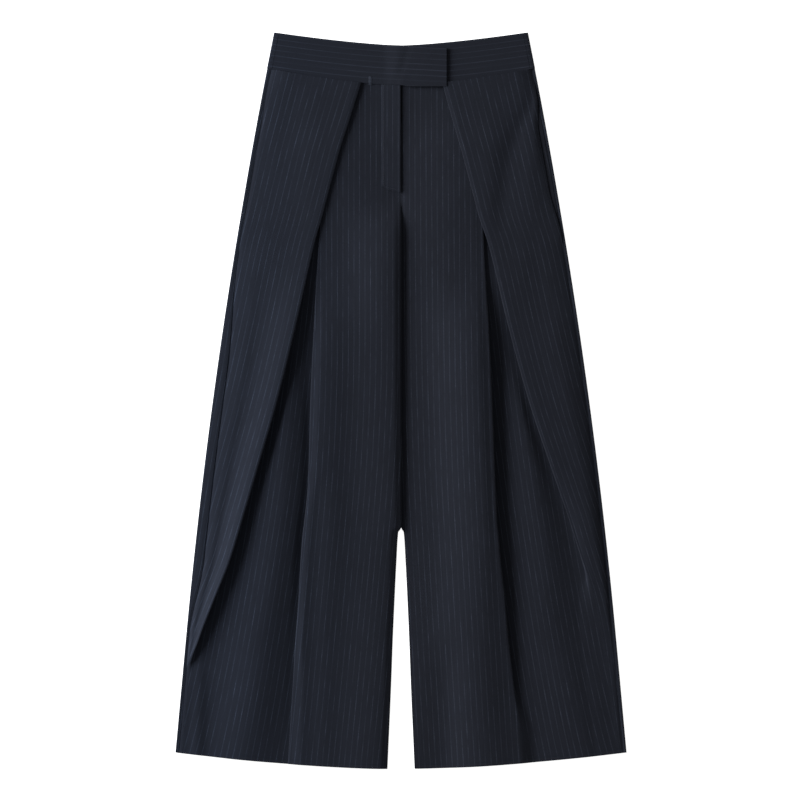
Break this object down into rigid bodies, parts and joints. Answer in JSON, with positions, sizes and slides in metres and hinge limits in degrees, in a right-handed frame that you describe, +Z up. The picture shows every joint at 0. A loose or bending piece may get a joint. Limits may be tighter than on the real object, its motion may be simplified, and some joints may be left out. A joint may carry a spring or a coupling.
{
  "type": "pleated wide-leg culottes",
  "caption": "High-waisted pinstripe culottes with a tabbed waistband, a fly front, side pockets and one deep wrap pleat falling across each wide leg, laid out flat on their back.",
  "frame": {"origin": "on the surface that the garment lies on, under the middle of its outline", "axes": "+X from the wearer's right to the wearer's left, +Y up the garment to the waist, +Z up from the surface, out of the garment's front"},
  "size_m": [0.6002, 0.979, 0.0155],
  "materials": {
    "suiting": "dark navy wool-type suiting with fine pale pinstripes, matt"
  },
  "bodies": {
    "root": {"waistband_back": "suiting", "waistband_front_right": "suiting", "waistband_front_left": "suiting", "fly_facing": "suiting", "back_right": "suiting", "back_left": "suiting", "front_right": "suiting", "front_left": "suiting", "pocket_facing_right": "suiting", "pocket_facing_left": "suiting"}
  },
  "joints": []
}
